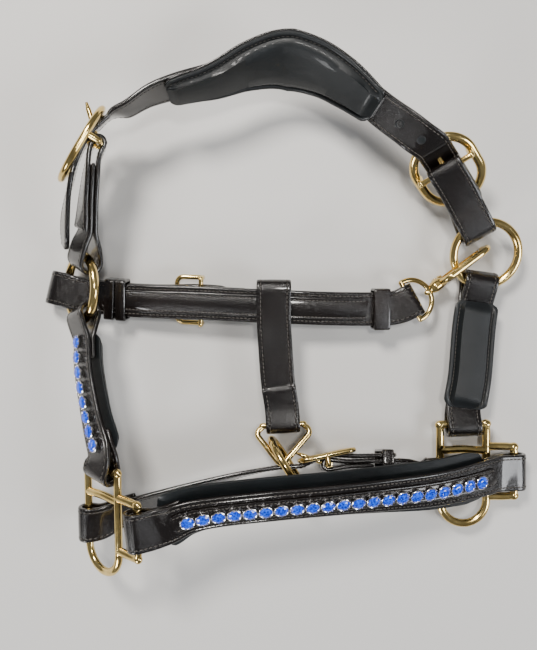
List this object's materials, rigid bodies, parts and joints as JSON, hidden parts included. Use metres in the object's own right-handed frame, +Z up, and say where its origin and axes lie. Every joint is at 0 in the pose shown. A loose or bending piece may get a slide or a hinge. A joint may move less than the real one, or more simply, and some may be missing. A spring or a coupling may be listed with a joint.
{
  "type": "headcollar",
  "caption": "Padded leather headcollar with brass fittings, blue crystals in claw cups, crown buckles, side rings, a lead ring and a throat strap with a trigger snap.",
  "frame": {"origin": "centre of the bounding box's bottom face", "axes": "+Y from the noseband towards the crown, +Z up from the surface it lies on, +X towards the right side ring"},
  "size_m": [0.3753, 0.3898, 0.0816],
  "materials": {
    "leather": "smooth waxed",
    "lining": "soft padded",
    "foam": "open cell",
    "brass": "polished",
    "steel": "bright",
    "silver": "bright",
    "crystal": "faceted"
  },
  "bodies": {
    "headcollar": {"left_square": "brass", "right_square": "brass", "left_cheek_strap": "leather", "left_cheek_foam": "foam", "left_cheek_lining": "lining", "left_cheek_cups": "silver", "left_cheek_stones": "crystal", "right_cheek_strap": "leather", "right_cheek_foam": "foam", "right_cheek_lining": "lining", "right_cheek_cups": "silver", "right_cheek_stones": "crystal", "noseband_strap": "leather", "noseband_strip": "leather", "noseband_foam": "foam", "noseband_lining": "lining", "noseband_cups": "silver", "noseband_stones": "crystal", "chin_strap": "leather", "chin_buckle_strap": "leather", "chin_buckle": "brass", "throat_strap": "leather", "throat_strip": "leather", "throat_chape": "leather", "throat_buckle": "brass", "snap_eye": "brass"},
    "left_ring_body": {"left_ring": "brass"},
    "right_ring_body": {"right_ring": "brass"},
    "lead_ring_body": {"lead_ring": "brass"},
    "crown_body": {"crown_strap": "leather", "crown_backing": "leather", "crown_foam": "foam", "crown_lining": "lining", "left_chape": "leather", "right_chape": "leather", "left_crown_buckle": "brass", "right_crown_buckle": "brass"},
    "left_tongue_body": {"left_crown_tongue": "brass"},
    "right_tongue_body": {"right_crown_tongue": "brass"},
    "chin_tongue_body": {"chin_tongue": "brass"},
    "throat_tongue_body": {"throat_tongue": "brass"},
    "triangle_body": {"triangle_ring": "brass"},
    "snap_body_group": {"snap_body": "brass", "snap_gate_pin": "steel", "snap_spring": "steel"},
    "snap_gate_body": {"snap_gate": "brass"},
    "centre_strap_body": {"centre_strap": "leather"},
    "throat_ring_keeper_body": {"throat_ring_keeper": "leather"},
    "throat_billet_keeper_body": {"throat_billet_keeper": "leather"},
    "chin_keeper_body": {"chin_keeper": "leather"},
    "throat_snap_keeper_body": {"throat_snap_keeper": "leather"}
  },
  "joints": [
    {"name": "left_ring_turn", "type": "hinge", "parent": "headcollar", "child": "left_ring_body", "pos_m": [-0.1555, 0.0174, 0.02824], "axis": [-0.7804, 0, 0.6252], "continuous": true},
    {"name": "right_ring_turn", "type": "hinge", "parent": "headcollar", "child": "right_ring_body", "pos_m": [0.1542, 0.0442, 0.01884], "axis": [0, -0.2756, 0.9613], "continuous": true},
    {"name": "lead_ring_turn", "type": "hinge", "parent": "headcollar", "child": "lead_ring_body", "pos_m": [0.0005, -0.1162, 0.02564], "axis": [0.8412, 0.5408, 0], "continuous": true},
    {"name": "crown_swing", "type": "hinge", "parent": "headcollar", "child": "crown_body", "pos_m": [-0.1507, 0.0412, 0.03444], "axis": [0.9957, 0.0835, -0.0412], "range_deg": [-2, 3]},
    {"name": "left_tongue_turn", "type": "hinge", "parent": "crown_body", "child": "left_tongue_body", "pos_m": [-0.1365, 0.1203, 0.05024], "axis": [0.258, -0.1533, 0.9539], "range_deg": [-9, 12]},
    {"name": "right_tongue_turn", "type": "hinge", "parent": "crown_body", "child": "right_tongue_body", "pos_m": [0.1167, 0.1031, 0.04324], "axis": [-0.798, -0.442, -0.4095], "range_deg": [-2, 14]},
    {"name": "chin_tongue_turn", "type": "hinge", "parent": "headcollar", "child": "chin_tongue_body", "pos_m": [0.03155, -0.11781, 0.02059], "axis": [-0.0031, -0.2001, -0.9798], "range_deg": [-2, 12]},
    {"name": "throat_tongue_turn", "type": "hinge", "parent": "headcollar", "child": "throat_tongue_body", "pos_m": [-0.06597, 0.00734, 0.01718], "axis": [-0.031, -0.9785, -0.2041], "range_deg": [-2, 10]},
    {"name": "triangle_swing", "type": "hinge", "parent": "centre_strap_body", "child": "triangle_body", "pos_m": [-0.0025, -0.0866, 0.02564], "axis": [0.9982, 0.0599, 0], "range_deg": [-2, 1]},
    {"name": "snap_swivel", "type": "hinge", "parent": "headcollar", "child": "snap_body_group", "pos_m": [0.1115, 0.0159, 0.01524], "axis": [0.8, 0.6, 0], "range_deg": [-4, 4]},
    {"name": "snap_gate_turn", "type": "hinge", "parent": "snap_body_group", "child": "snap_gate_body", "pos_m": [0.1219, 0.0237, 0.00364], "axis": [0.6, -0.8, 0], "range_deg": [0, 12], "stiffness_Nm_per_rad": 0.02, "springref_deg": -20.05},
    {"name": "centre_strap_swing", "type": "hinge", "parent": "headcollar", "child": "centre_strap_body", "pos_m": [-0.0095, 0.0034, 0.02624], "axis": [1, 0, 0], "range_deg": [-0.3, 0.4]},
    {"name": "throat_ring_keeper_slide", "type": "slide", "parent": "headcollar", "child": "throat_ring_keeper_body", "axis": [0.9853, -0.108, 0.1327], "range_m": [-0.002, 0]},
    {"name": "throat_billet_keeper_slide", "type": "slide", "parent": "headcollar", "child": "throat_billet_keeper_body", "axis": [0.9895, -0.0767, 0.1229], "range_m": [0, 0.003]},
    {"name": "chin_keeper_slide", "type": "slide", "parent": "headcollar", "child": "chin_keeper_body", "axis": [0.9992, -0.0267, -0.0292], "range_m": [-0.003, 0.003]},
    {"name": "throat_snap_keeper_slide", "type": "slide", "parent": "headcollar", "child": "throat_snap_keeper_body", "axis": [0.9959, 0.0201, -0.0885], "range_m": [-0.002, 0.001]}
  ]
}
